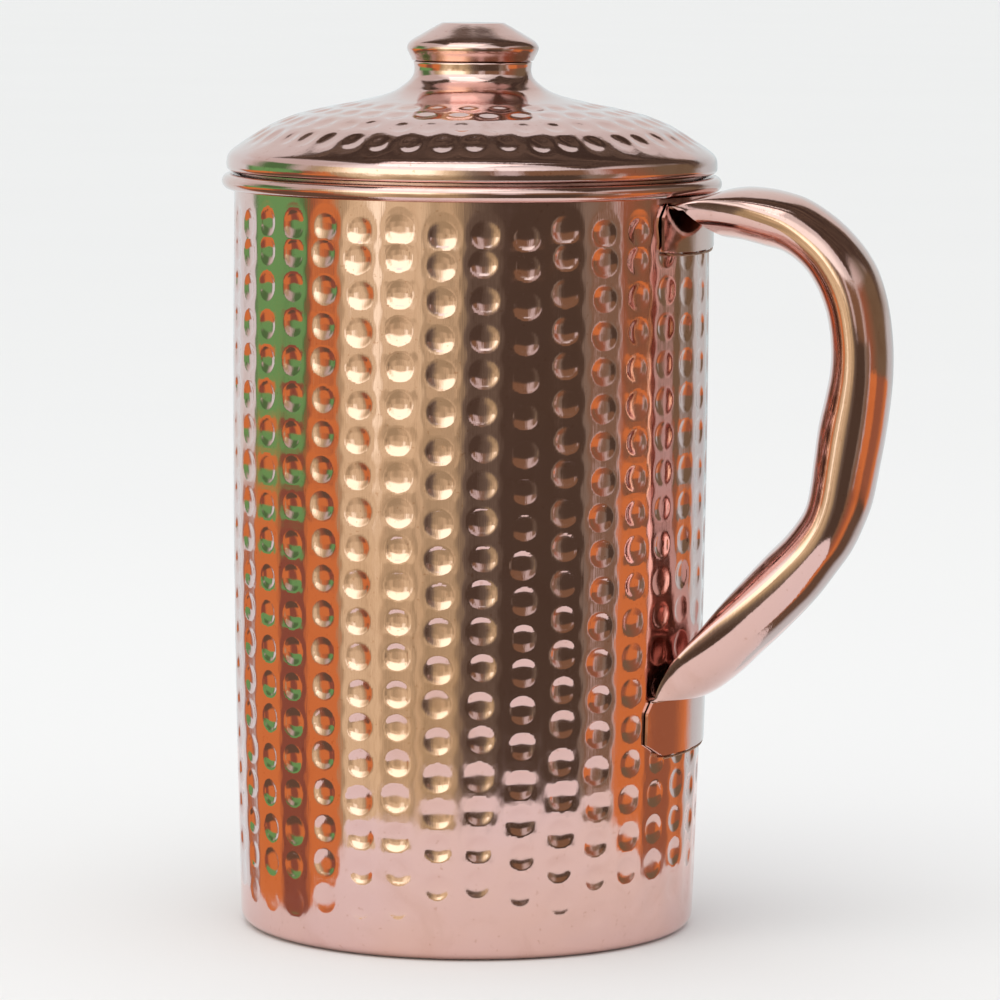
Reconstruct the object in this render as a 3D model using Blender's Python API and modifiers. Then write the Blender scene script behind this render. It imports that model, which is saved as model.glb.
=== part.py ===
# Copper water jug with a lift-off lid.
# Metres, +Z up. The origin is the centre of the flat base; the handle points along +X.
import math

import bmesh
import bpy
import numpy as np
from mathutils import Vector

millimetre = 0.001

# sheet and fits
sheet_thickness = 0.8 * millimetre
touching_gap = 0.3 * millimetre
collar_clearance = 0.6 * millimetre

# body
rim_wall_radius = 58.0 * millimetre
base_wall_radius = rim_wall_radius - 2.3 * millimetre
wall_bulge = 1.1 * millimetre
body_height = 184.5 * millimetre
base_corner_radius = 3.0 * millimetre

# rolled rim bead
bead_radius = 1.92 * millimetre
bead_height = body_height - bead_radius
curl_end = -108.0

# lid
lid_radius = rim_wall_radius + 1.7 * millimetre
lid_skirt_height = 3.2 * millimetre
lid_corner_radius = 2.0 * millimetre
collar_depth = 11.0 * millimetre
collar_radius = rim_wall_radius - sheet_thickness - collar_clearance

# knob
neck_radius = 14.27 * millimetre
spigot_radius = neck_radius - 0.52 * millimetre
cap_radius = neck_radius + 1.78 * millimetre
cap_mouth_radius = spigot_radius + 1.05 * millimetre
cap_flat_radius = 7.8 * millimetre
cap_height = 9.15 * millimetre
lid_rest = body_height + touching_gap
cap_seat = lid_rest + 27.35 * millimetre

# handle
handle_sheet = 0.8 * millimetre
grip_half_width = 12.0 * millimetre
grip_reach = 98.6 * millimetre
handle_span = 119.5 * millimetre
upper_crease_height = body_height - 2.0 * bead_radius - 1.16 * millimetre
lower_crease_height = upper_crease_height - handle_span
upper_tongue_height = 11.6 * millimetre
lower_tongue_height = 13.6 * millimetre
upper_half_angle = math.radians(19.6)
lower_half_angle = math.radians(22.6)
tongue_flare = math.radians(1.9)
braze_radius = 0.3 * millimetre

# how far each end of the handle is cut back, counted in sections along it
upper_cut = 3.2
lower_cut = 0.55
cut_settle = 5.0
handle_rows = 44
handle_columns = 24

turn_steps = 48
knob_steps = 32


def wall_radius(height):
    # outer radius of the body wall, slightly barrelled between base and bead
    part = min(max(height / bead_height, 0.0), 1.0)
    taper = base_wall_radius + (rim_wall_radius - base_wall_radius) * part
    return taper + wall_bulge * 4.0 * part * (1.0 - part)


def smooth_step(value):
    value = min(max(value, 0.0), 1.0)
    return value * value * (3.0 - 2.0 * value)


def arc(centre, radius, start, end, count):
    # points on a circle in the radius and height plane, angles in degrees
    points = []
    for index in range(count):
        angle = math.radians(start + (end - start) * index / (count - 1))
        points.append((centre[0] + radius * math.cos(angle), centre[1] + radius * math.sin(angle)))
    return points


def curve_through(points, place):
    # a point on the smooth curve through the given ones; place counts in knots
    index = min(max(int(math.floor(place)), 0), len(points) - 2)
    t = place - index
    before = points[max(index - 1, 0)]
    start = points[index]
    end = points[index + 1]
    after = points[min(index + 2, len(points) - 1)]
    result = []
    for axis in range(len(start)):
        leave = (end[axis] - before[axis]) * 0.5
        arrive = (after[axis] - start[axis]) * 0.5
        value = (2 * t ** 3 - 3 * t ** 2 + 1) * start[axis]
        value = value + (t ** 3 - 2 * t ** 2 + t) * leave
        value = value + (-2 * t ** 3 + 3 * t ** 2) * end[axis]
        value = value + (t ** 3 - t ** 2) * arrive
        result.append(value)
    return result


def offset_inward(points, distance):
    # parallel curve on the left of a profile that runs down its outer side
    result = []
    count = len(points)
    for index in range(count):
        before = points[max(index - 1, 0)]
        after = points[min(index + 1, count - 1)]
        along = Vector((after[0] - before[0], after[1] - before[1])).normalized()
        result.append((points[index][0] + along.y * distance, points[index][1] - along.x * distance))
    return result


def make_collection(name):
    collection = bpy.data.collections.new(name)
    bpy.context.scene.collection.children.link(collection)
    return collection


def make_material(name, colour, roughness):
    material = bpy.data.materials.new(name)
    material.use_nodes = True
    shader = material.node_tree.nodes["Principled BSDF"]
    shader.inputs["Base Color"].default_value = (colour[0], colour[1], colour[2], 1.0)
    shader.inputs["Roughness"].default_value = roughness
    shader.inputs["Metallic"].default_value = 1.0
    material.diffuse_color = (colour[0], colour[1], colour[2], 1.0)
    return material


def add_object(name, mesh, material, collection):
    thing = bpy.data.objects.new(name, mesh)
    collection.objects.link(thing)
    mesh.materials.append(material)
    return thing


def apply_modifiers(thing):
    # freeze the modifier stack into a clean mesh with its faces pointing out
    graph = bpy.context.evaluated_depsgraph_get()
    mesh = bpy.data.meshes.new_from_object(thing.evaluated_get(graph))
    thing.modifiers.clear()
    thing.data = mesh
    tidy = bmesh.new()
    tidy.from_mesh(mesh)
    bmesh.ops.remove_doubles(tidy, verts=tidy.verts, dist=0.000002)
    bmesh.ops.dissolve_degenerate(tidy, edges=tidy.edges, dist=0.000001)
    bmesh.ops.recalc_face_normals(tidy, faces=tidy.faces)
    tidy.to_mesh(mesh)
    tidy.free()
    for polygon in mesh.polygons:
        polygon.use_smooth = True
    return thing


def turned(name, profile, closed, steps, material, collection):
    # a turned piece: the profile sits at +X and runs down its outer side
    mesh = bpy.data.meshes.new(name)
    vertices = [(point[0], 0.0, point[1]) for point in profile]
    edges = [(index, index + 1) for index in range(len(vertices) - 1)]
    if closed:
        edges.append((len(vertices) - 1, 0))
    mesh.from_pydata(vertices, edges, [])
    thing = add_object(name, mesh, material, collection)
    screw = thing.modifiers.new("turn", "SCREW")
    screw.axis = "Z"
    screw.angle = math.tau
    screw.steps = steps
    screw.render_steps = steps
    screw.use_merge_vertices = True
    screw.merge_threshold = 0.00001
    screw.use_smooth_shade = True
    return apply_modifiers(thing)


def body_profile():
    # inside of the base, up the inner wall, round the curled bead, down the outer wall
    corner = base_corner_radius
    inner_corner = corner - sheet_thickness
    curl_centre = (rim_wall_radius - sheet_thickness + bead_radius, bead_height)
    heights = np.linspace(corner, bead_height - bead_radius - 0.9 * millimetre, 8)
    outer_wall = [(wall_radius(height), height) for height in heights]
    inner_wall = [(radius - sheet_thickness, height) for radius, height in outer_wall]
    corner_centre = (outer_wall[0][0] - corner, corner)
    profile = [(0.0, sheet_thickness)]
    profile.append((corner_centre[0] * 0.5, sheet_thickness))
    profile = profile + arc(corner_centre, inner_corner, -90.0, 0.0, 4)[:-1]
    profile = profile + inner_wall
    profile = profile + arc(curl_centre, bead_radius, 180.0, curl_end, 10)
    profile = profile + arc(curl_centre, bead_radius - sheet_thickness, curl_end, 180.0, 7)
    profile = profile + outer_wall[::-1]
    profile = profile + arc(corner_centre, corner, 0.0, -90.0, 5)[1:]
    profile.append((corner_centre[0] * 0.5, 0.0))
    profile.append((0.0, 0.0))
    return profile


def lid_outer_profile():
    # outer side of the lid, from the top of the spigot down to the skirt edge
    rest = lid_rest
    spread = (lid_radius - neck_radius) / (45.43 * millimetre)
    dome = [
        (14.46, 27.00), (14.27, 25.40), (14.95, 23.05), (15.85, 22.10), (17.05, 21.15),
        (18.40, 20.20), (20.60, 19.20), (23.70, 18.25), (30.00, 16.90), (37.40, 15.45),
        (43.00, 14.00), (47.70, 12.20), (51.60, 10.12), (55.80, 7.45),
    ]
    points = []
    points.append((spigot_radius, rest + 30.8 * millimetre))
    points.append((spigot_radius, rest + 27.25 * millimetre))
    for radius, height in dome:
        reach = neck_radius + (radius - 14.27) * millimetre * spread
        points.append((reach, rest + height * millimetre))
    corner = lid_corner_radius
    centre = (lid_radius - corner, rest + lid_skirt_height)
    points = points + arc(centre, corner, 62.0, 0.0, 4)
    points.append((lid_radius - 0.25 * millimetre, rest))
    return points


def lid_profile():
    outer = lid_outer_profile()
    inner = offset_inward(outer, sheet_thickness)
    inner[-1] = (outer[-1][0] - sheet_thickness, outer[-1][1])
    return inner[::-1] + outer


def cap_profile():
    # spun cap: flat top, shallow cone, round rim that tucks in to the neck
    top = cap_seat + cap_height
    outer = [
        (0.0, top), (cap_flat_radius * 0.5, top), (cap_flat_radius - 0.5 * millimetre, top),
        (cap_flat_radius + 0.4 * millimetre, top - 0.28 * millimetre),
    ]
    # shoulder: share of the way from the flat top out to the rim, and drop
    cone = cap_radius - cap_flat_radius
    for share, drop in ((0.4242, 1.90), (0.6545, 2.85), (0.8545, 3.80), (0.9697, 4.80)):
        outer.append((cap_flat_radius + cone * share, top - drop * millimetre))
    outer.append((cap_radius, top - 5.80 * millimetre))
    # tuck: share of the way from the mouth out to the rim, and drop
    tuck = cap_radius - cap_mouth_radius
    for share, drop in ((0.896, 6.75), (0.6, 7.65), (0.2, 8.50)):
        outer.append((cap_mouth_radius + tuck * share, top - drop * millimetre))
    outer.append((cap_mouth_radius, cap_seat))
    inner = offset_inward(outer, sheet_thickness)
    inner[0] = (0.0, top - sheet_thickness)
    inner[-1] = (outer[-1][0] - sheet_thickness * 0.85, cap_seat)
    return outer + inner[::-1]


def ring_profile(radius, height, tube, count):
    # round section, listed so that its outer side runs down
    points = []
    for index in range(count):
        angle = math.pi * 0.5 - math.tau * index / count
        points.append((radius + tube * math.cos(angle), height + tube * math.sin(angle)))
    return points


def handle_rails():
    # pairs across the handle in its own plane: outer reach and height, inner reach and height
    pairs = [
        (59.5, 179.5, 59.7, 171.9), (61.2, 180.3, 61.4, 171.4), (63.0, 181.4, 63.2, 171.0),
        (65.4, 182.3, 65.6, 170.7), (68.2, 182.8, 68.3, 170.4), (72.1, 182.9, 70.8, 169.9),
        (77.8, 182.2, 75.2, 168.8), (83.9, 180.5, 78.9, 167.9), (89.9, 177.0, 82.1, 166.2),
        (94.7, 173.0, 85.3, 163.4), (98.9, 168.2, 87.5, 160.2), (102.0, 162.9, 89.2, 156.7),
        (104.3, 155.6, 90.7, 152.0), (105.6, 146.7, 91.6, 145.3), (105.8, 138.6, 91.4, 139.4),
        (105.3, 131.4, 90.3, 133.6), (104.3, 123.7, 88.7, 126.3), (102.9, 115.7, 87.7, 118.3),
        (101.2, 107.2, 86.8, 110.8), (98.9, 100.9, 85.7, 106.3), (96.2, 95.3, 83.6, 102.7),
        (92.6, 90.1, 80.8, 99.1), (88.2, 84.2, 76.4, 94.6), (83.5, 79.0, 71.7, 89.4),
        (78.5, 73.9, 67.1, 84.1), (74.4, 70.0, 63.9, 79.6), (70.6, 66.2, 61.7, 75.4),
        (66.8, 62.9, 60.4, 71.2), (63.4, 60.4, 59.5, 66.0), (59.4, 58.3, 58.7, 60.4),
    ]
    stretch = (grip_reach - 98.6 * millimetre) / (40.0 * millimetre)
    rise = handle_span / 119.5
    # both ends follow the wall that they lie on
    upper_shift = wall_radius(upper_crease_height) - 58.0342 * millimetre
    lower_shift = wall_radius(lower_crease_height) - 57.4266 * millimetre
    rails = []
    for outer_reach, outer_height, inner_reach, inner_height in pairs:
        middle = (outer_reach + inner_reach) * 0.5 * millimetre
        shift = stretch * max(middle - 60.0 * millimetre, 0.0)
        upward = (outer_height - 60.0) / 119.5
        shift = shift + upper_shift * upward + lower_shift * (1.0 - upward)
        rails.append((outer_reach * millimetre + shift, lower_crease_height + (outer_height - 60.0) * rise,
                      inner_reach * millimetre + shift, lower_crease_height + (inner_height - 60.0) * rise))
    return rails


def handle_section(rails, place, columns):
    # mid-sheet points round the handle at one place along it
    outer_reach, outer_height, inner_reach, inner_height = curve_through(rails, place)
    part = place / (len(rails) - 1)
    top = Vector((outer_reach, 0.0, outer_height))
    low = Vector((inner_reach, 0.0, inner_height))
    across = (top - low).normalized()
    depth = (top - low).length - handle_sheet
    near_upper = 1.0 - smooth_step(part / 0.30)
    near_lower = 1.0 - smooth_step((1.0 - part) / 0.34)
    upper_width = rim_wall_radius * math.sin(upper_half_angle) - grip_half_width
    lower_width = rim_wall_radius * math.sin(lower_half_angle) - grip_half_width
    half_width = grip_half_width + upper_width * near_upper ** 1.5 + lower_width * near_lower ** 1.5
    # share of the depth that lies on the outer side of the widest line
    share = 0.5 - 0.42 * near_upper + 0.42 * near_lower
    widest = top - across * (handle_sheet * 0.5 + depth * share)
    points = []
    for column in range(columns):
        angle = math.tau * column / columns
        rise = math.cos(angle)
        reach = depth * share if rise > 0.0 else depth * (1.0 - share)
        sideways = Vector((0.0, half_width * math.sin(angle), 0.0))
        points.append(widest + across * rise * reach + sideways)
    return points


def wall_point(angle, height, lift):
    radius = wall_radius(height) + lift
    return Vector((radius * math.cos(angle), radius * math.sin(angle), height))


def tongue_drop(depth, sine, snipped):
    # depth of a tongue's lower edge: a snipped tongue has its two corners cut off, the other is gently round
    if snipped:
        return depth * (1.0 - 0.24 * max(abs(sine) - 0.74, 0.0) / 0.26)
    return depth * (1.0 - 0.10 * abs(sine) ** 4)


def tongue_rows(half_angle, crease, depth, snipped, sines):
    # rows of a tongue that lies on the wall below its crease, one point per column
    lift = touching_gap + handle_sheet * 0.5
    rows = []
    for share in (0.13, 0.27, 0.5, 0.75, 1.0):
        row = []
        for sine in sines:
            flare = min(share / 0.27, 1.0) * tongue_flare
            bottom = tongue_drop(depth, sine, snipped)
            row.append(wall_point((half_angle + flare) * sine, crease - bottom * share, lift))
        rows.append(row)
    return rows


def handle_grid():
    # rows along the handle, columns round it; both ends are cut back and fitted to the round wall
    rails = handle_rails()
    rows = handle_rows
    columns = handle_columns
    last = len(rails) - 1
    settle = cut_settle
    lift = touching_gap + handle_sheet * 0.5
    grid = []
    for row in range(rows):
        place = last * row / (rows - 1)
        plain = handle_section(rails, place, columns)
        line = []
        for column in range(columns):
            angle = math.tau * column / columns
            point = plain[column]
            for end_place, side, cut, crease in (
                    (0.0, 1.0, upper_cut, upper_crease_height),
                    (float(last), -1.0, lower_cut, lower_crease_height)):
                away = abs(place - end_place)
                if away >= settle:
                    continue
                # how far round this column is beyond the widest line, on the side that is cut back
                beyond = max(-math.cos(angle) * side, 0.0)
                start = cut * (0.30 + 0.70 * beyond) if beyond > 0.001 else 0.0
                moved = start + (settle - start) * away / settle
                moved_place = moved if end_place == 0.0 else last - moved
                point = handle_section(rails, moved_place, columns)[column]
                middle = crease - handle_sheet * 0.5 * (side + 1.0) * 0.5
                radius = wall_radius(middle) + lift
                bow = math.sqrt(radius * radius - point.y * point.y) - radius
                point.x = point.x + bow * (1.0 - smooth_step(away / settle))
                if away < 0.001 and beyond <= 0.001:
                    point.x = math.sqrt(radius * radius - point.y * point.y)
                    point.z = middle
            line.append(point)
        grid.append(line)
    return grid


def make_handle(material, collection):
    columns = handle_columns
    quarter = columns // 4
    grid = handle_grid()
    rows = len(grid)
    build = bmesh.new()
    vertices = [[build.verts.new(point) for point in line] for line in grid]
    for row in range(rows - 1):
        for column in range(columns):
            following = (column + 1) % columns
            build.faces.new([
                vertices[row][column], vertices[row][following],
                vertices[row + 1][following], vertices[row + 1][column],
            ])

    # fold a tongue down the wall from each crease
    tongues = (
        (0, [column % columns for column in range(-quarter, quarter + 1)],
         upper_half_angle, upper_crease_height - handle_sheet * 0.5, upper_tongue_height, False),
        (rows - 1, list(range(quarter, 3 * quarter + 1)),
         lower_half_angle, lower_crease_height, lower_tongue_height, True),
    )
    for end_row, names, half_angle, crease, depth, snipped in tongues:
        previous = [vertices[end_row][column] for column in names]
        sines = []
        for vertex in previous:
            radius = math.hypot(vertex.co.x, vertex.co.y)
            sines.append(math.asin(vertex.co.y / radius) / half_angle)
        for points in tongue_rows(half_angle, crease, depth, snipped, sines):
            current = [build.verts.new(point) for point in points]
            for index in range(len(current) - 1):
                build.faces.new([previous[index], previous[index + 1], current[index + 1], current[index]])
            previous = current
    bmesh.ops.recalc_face_normals(build, faces=build.faces)
    mesh = bpy.data.meshes.new("handle")
    build.to_mesh(mesh)
    build.free()
    thing = add_object("handle", mesh, material, collection)
    shell = thing.modifiers.new("sheet", "SOLIDIFY")
    shell.thickness = handle_sheet
    shell.offset = 0.0
    shell.use_even_offset = True
    shell.use_quality_normals = True
    shell.use_rim = True
    return apply_modifiers(thing)


def make_braze(name, half_angle, crease, depth, snipped, material, collection):
    # a thin run of braze under the lower edge of a tongue
    edge = []
    drop = touching_gap + braze_radius + 0.1 * millimetre
    reach = 0.70 if snipped else 0.90
    for step in range(21):
        sine = reach * (step / 10.0 - 1.0)
        bottom = tongue_drop(depth, sine, snipped)
        edge.append(((half_angle + tongue_flare) * sine, crease - bottom - drop))
    curve = bpy.data.curves.new(name, "CURVE")
    curve.dimensions = "3D"
    curve.bevel_depth = braze_radius
    curve.bevel_resolution = 2
    curve.use_fill_caps = True
    spline = curve.splines.new("POLY")
    spline.points.add(len(edge) - 1)
    for index, (angle, height) in enumerate(edge):
        point = wall_point(angle, height, touching_gap + braze_radius)
        spline.points[index].co = (point.x, point.y, point.z, 1.0)
    source = bpy.data.objects.new(name + "_path", curve)
    collection.objects.link(source)
    graph = bpy.context.evaluated_depsgraph_get()
    mesh = bpy.data.meshes.new_from_object(source.evaluated_get(graph))
    mesh.materials.clear()
    thing = add_object(name, mesh, material, collection)
    thing.matrix_world = source.matrix_world
    bpy.data.objects.remove(source, do_unlink=True)
    return apply_modifiers(thing)


for leftover in list(bpy.data.objects):
    bpy.data.objects.remove(leftover, do_unlink=True)

jug_collection = make_collection("copper_water_jug")
cutter_collection = make_collection("cutters")
cutter_collection.hide_render = True

body_copper = make_material("hammered_copper", (0.80, 0.42, 0.29), 0.16)
lid_copper = make_material("lid_copper", (0.78, 0.43, 0.31), 0.14)
cap_copper = make_material("cap_copper", (0.77, 0.41, 0.29), 0.15)
collar_copper = make_material("collar_copper", (0.74, 0.40, 0.28), 0.28)
handle_copper = make_material("handle_copper", (0.79, 0.43, 0.30), 0.12)
upper_braze_metal = make_material("upper_braze", (0.62, 0.38, 0.24), 0.40)
lower_braze_metal = make_material("lower_braze", (0.60, 0.37, 0.23), 0.42)
cap_solder_metal = make_material("cap_solder", (0.56, 0.50, 0.45), 0.45)
collar_solder_metal = make_material("collar_solder", (0.58, 0.51, 0.46), 0.44)

turned("body_shell", body_profile(), False, turn_steps, body_copper, jug_collection)
make_handle(handle_copper, jug_collection)
make_braze("upper_braze", upper_half_angle, upper_crease_height - handle_sheet * 0.5, upper_tongue_height,
           False, upper_braze_metal, jug_collection)
make_braze("lower_braze", lower_half_angle, lower_crease_height, lower_tongue_height, True,
           lower_braze_metal, jug_collection)
turned("lid_shell", lid_profile(), True, turn_steps, lid_copper, jug_collection)
turned("knob_cap", cap_profile(), False, knob_steps, cap_copper, jug_collection)

collar_top = lid_rest + 5.3 * millimetre
collar_foot = body_height - collar_depth
collar_inner = collar_radius - sheet_thickness
collar_section = [
    (collar_inner, collar_foot), (collar_inner, collar_top),
    (collar_radius, collar_top), (collar_radius, collar_foot),
]
turned("lid_collar", collar_section, True, turn_steps, collar_copper, jug_collection)
collar_solder_radius = collar_inner - touching_gap - 0.5 * millimetre
turned("collar_solder", ring_profile(collar_solder_radius, collar_top - 0.1 * millimetre,
                                     0.5 * millimetre, 6), True, turn_steps, collar_solder_metal,
       jug_collection)
turned("cap_solder", ring_profile(spigot_radius + touching_gap + 0.32 * millimetre,
                                  cap_seat + 2.4 * millimetre, 0.32 * millimetre, 6), True, knob_steps,
       cap_solder_metal, jug_collection)
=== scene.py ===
import math
import bmesh
import bpy
import numpy as np
from mathutils import Matrix, Vector


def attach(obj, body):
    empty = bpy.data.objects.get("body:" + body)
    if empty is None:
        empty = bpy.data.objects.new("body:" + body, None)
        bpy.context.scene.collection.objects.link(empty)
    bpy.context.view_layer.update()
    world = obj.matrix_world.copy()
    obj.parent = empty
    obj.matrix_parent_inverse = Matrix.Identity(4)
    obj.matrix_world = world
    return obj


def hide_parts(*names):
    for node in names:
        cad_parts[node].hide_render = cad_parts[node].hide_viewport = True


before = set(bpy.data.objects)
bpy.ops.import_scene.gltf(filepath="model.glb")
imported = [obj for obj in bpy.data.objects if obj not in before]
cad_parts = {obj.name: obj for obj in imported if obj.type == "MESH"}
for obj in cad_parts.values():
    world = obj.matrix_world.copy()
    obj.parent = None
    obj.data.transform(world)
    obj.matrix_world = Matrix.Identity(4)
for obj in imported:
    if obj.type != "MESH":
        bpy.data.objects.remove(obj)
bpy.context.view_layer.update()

mm = 0.001
rng = np.random.default_rng(36)
scene = bpy.context.scene
pieces = bpy.data.collections.new("jugPieces")
scene.collection.children.link(pieces)


# shader sums written as plain expressions
class Sock:
    def __init__(self, tree, socket):
        self.tree = tree
        self.socket = socket

    def math(self, operation, *others):
        values = dict(enumerate((self,) + others))
        return Shade(self.tree).node("ShaderNodeMath", {"operation": operation}, values)

    def __add__(self, other): return self.math("ADD", other)
    def __radd__(self, other): return self.math("ADD", other)
    def __mul__(self, other): return self.math("MULTIPLY", other)
    def __rmul__(self, other): return self.math("MULTIPLY", other)
    def __sub__(self, other): return self.math("SUBTRACT", other)
    def __rsub__(self, other): return (self * -1.0) + other
    def __truediv__(self, other): return self.math("DIVIDE", other)

    def ramp01(self, low, high):  # smooth 0 to 1 between two values
        return Shade(self.tree).node("ShaderNodeMapRange", {"interpolation_type": "SMOOTHSTEP"},
                                     {"Value": self, "From Min": low, "From Max": high})


def plug(tree, slot, value):
    if isinstance(value, Sock):
        tree.links.new(value.socket, slot)
    elif isinstance(value, (tuple, list)) and len(value) == 3 and slot.type == "RGBA":
        slot.default_value = (*value, 1.0)
    else:
        slot.default_value = value


class Shade:
    # adds nodes to one tree: settings are set first, then the values or links of the sockets
    def __init__(self, tree):
        self.tree = tree

    def node(self, kind, settings=None, inputs=None, output=0):
        made = self.tree.nodes.new(kind)
        for name, value in (settings or {}).items():
            if name == "stops":
                band = made.color_ramp
                while len(band.elements) > 1:
                    band.elements.remove(band.elements[-1])
                for index, (place, colour) in enumerate(value):
                    stop = band.elements[0] if index == 0 else band.elements.new(place)
                    stop.position = place
                    stop.color = (*colour, 1.0)
            elif name == "ease":
                made.color_ramp.interpolation = value
            else:
                setattr(made, name, value)
        for name, value in (inputs or {}).items():
            plug(self.tree, made.inputs[name], value)
        return Sock(self.tree, made.outputs[output])

    def noise(self, where, scale, detail=3.0, rough=0.5, warp=0.0):
        return self.node("ShaderNodeTexNoise", {"noise_dimensions": "3D"},
                         {"Vector": where, "Scale": scale, "Detail": detail,
                          "Roughness": rough, "Distortion": warp})

    def stretch(self, where, factors):
        return self.node("ShaderNodeVectorMath", {"operation": "MULTIPLY"}, {0: where, 1: factors})

    def mix(self, factor, first, second):  # two colours, which use the node's own colour sockets
        return self.node("ShaderNodeMix", {"data_type": "RGBA"}, {0: factor, 6: first, 7: second}, output=2)


def newMaterial(name):
    material = bpy.data.materials.new(name)
    material.use_nodes = True
    tree = material.node_tree
    return material, Shade(tree), tree.nodes["Principled BSDF"]


def copperFinish(name, look):
    # polished copper: faint tarnish clouds, rubbed streaks, hairlines and smudges
    material, shade, shader = newMaterial(name)
    spot = shade.node("ShaderNodeTexCoord", output=3)
    cloud = shade.noise(spot, 16.0, 4.0, 0.55, 0.4).ramp01(0.38, 0.72)
    stain = shade.noise(spot, 55.0, 5.0, 0.6, 0.8).ramp01(0.52, 0.78)
    streak = shade.noise(shade.stretch(spot, look["streakStretch"]), 1.0, 3.0, 0.6)
    hair = shade.noise(shade.stretch(spot, look["hairStretch"]), 1.0, 2.0, 0.7)
    speck = shade.noise(spot, 900.0, 2.0, 0.5).ramp01(0.66, 0.74)
    base = shade.mix(cloud * look["cloud"], look["colour"], look["warmColour"])
    base = shade.mix(stain * look["stain"], base, look["tarnish"])
    base = shade.mix(speck * 0.35, base, look["tarnish"])
    plug(shade.tree, shader.inputs["Base Color"], base)
    gloss = (cloud * look["roughSpread"] + stain * (look["roughSpread"] * 0.8)
             + streak.ramp01(0.45, 0.8) * look["streakRough"] + look["rough"])
    plug(shade.tree, shader.inputs["Roughness"], gloss)
    shader.inputs["Metallic"].default_value = 1.0
    swell = shade.noise(spot, look["swellScale"], 2.0, 0.45)
    height = swell * look["swell"] + hair * look["hair"] + streak * look["streak"]
    bump = shade.node("ShaderNodeBump", None, {"Height": height, "Distance": 0.001, "Strength": 1.0})
    plug(shade.tree, shader.inputs["Normal"], bump)
    return material


copperLook = {
    "colour": (0.775, 0.520, 0.490), "warmColour": (0.785, 0.500, 0.415), "tarnish": (0.52, 0.25, 0.16),
    "cloud": 0.7, "stain": 0.22, "rough": 0.075, "roughSpread": 0.05, "streakRough": 0.05,
    "streakStretch": (420.0, 420.0, 22.0), "hairStretch": (2600.0, 2600.0, 120.0),
    "swellScale": 130.0, "swell": 0.05, "hair": 0.012, "streak": 0.02,
}


def makeMesh(name, points, faces, material):
    mesh = bpy.data.meshes.new(name)
    mesh.from_pydata(points, [], faces)
    mesh.update()
    mesh.shade_smooth()
    mesh.materials.append(material)
    piece = bpy.data.objects.new(name, mesh)
    pieces.objects.link(piece)
    return piece


def turnGrid(radii, heights, columns):
    # a turned surface as a grid: one row per profile point
    turn = np.arange(columns) * (math.tau / columns)
    x = radii[:, None] * np.cos(turn)[None, :]
    y = radii[:, None] * np.sin(turn)[None, :]
    z = np.repeat(heights[:, None], columns, axis=1)
    return np.stack([x, y, z], axis=-1)


def gridFaces(rows, columns, wrapRows=False):
    row = np.arange(rows if wrapRows else rows - 1)
    nextRow = (row + 1) % rows
    col = np.arange(columns)
    nextCol = (col + 1) % columns
    a = row[:, None] * columns + col[None, :]
    b = row[:, None] * columns + nextCol[None, :]
    c = nextRow[:, None] * columns + nextCol[None, :]
    d = nextRow[:, None] * columns + col[None, :]
    return np.stack([a, b, c, d], axis=-1).reshape(-1, 4)


def arcPoints(centre, radius, start, end, count):
    angles = np.radians(np.linspace(start, end, count))
    return [(centre[0] + radius * math.cos(t), centre[1] + radius * math.sin(t)) for t in angles]


def between(before, start, end, after, t):
    # a point of the smooth curve from start to end, with its neighbours on either side
    leave = (end - before) * 0.5
    arrive = (after - start) * 0.5
    return ((2 * t ** 3 - 3 * t ** 2 + 1) * start + (t ** 3 - 2 * t ** 2 + t) * leave
            + (-2 * t ** 3 + 3 * t ** 2) * end + (t ** 3 - t ** 2) * arrive)


def smoothThrough(points, perSpan):
    # a smooth curve through profile points
    knots = np.array(points, dtype=float)
    out = []
    for index in range(len(knots) - 1):
        before = knots[max(index - 1, 0)]
        start, end = knots[index], knots[index + 1]
        after = knots[min(index + 2, len(knots) - 1)]
        out += [between(before, start, end, after, step / perSpan) for step in range(perSpan)]
    out.append(knots[-1])
    return np.array(out)


def evenly(points, spacing):
    points = np.array(points, dtype=float)
    steps = np.linalg.norm(np.diff(points, axis=0), axis=1)
    along = np.concatenate([[0.0], np.cumsum(steps)])
    count = max(int(round(along[-1] / spacing)), 2) + 1
    places = np.linspace(0.0, along[-1], count)
    return np.stack([np.interp(places, along, points[:, axis]) for axis in (0, 1)], axis=-1)


def sideways(points):
    # unit normal of a profile, on the left of its run
    along = np.gradient(points, axis=0)
    along /= np.linalg.norm(along, axis=1)[:, None] + 1e-12
    return np.stack([along[:, 1], -along[:, 0]], axis=-1)


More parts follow.
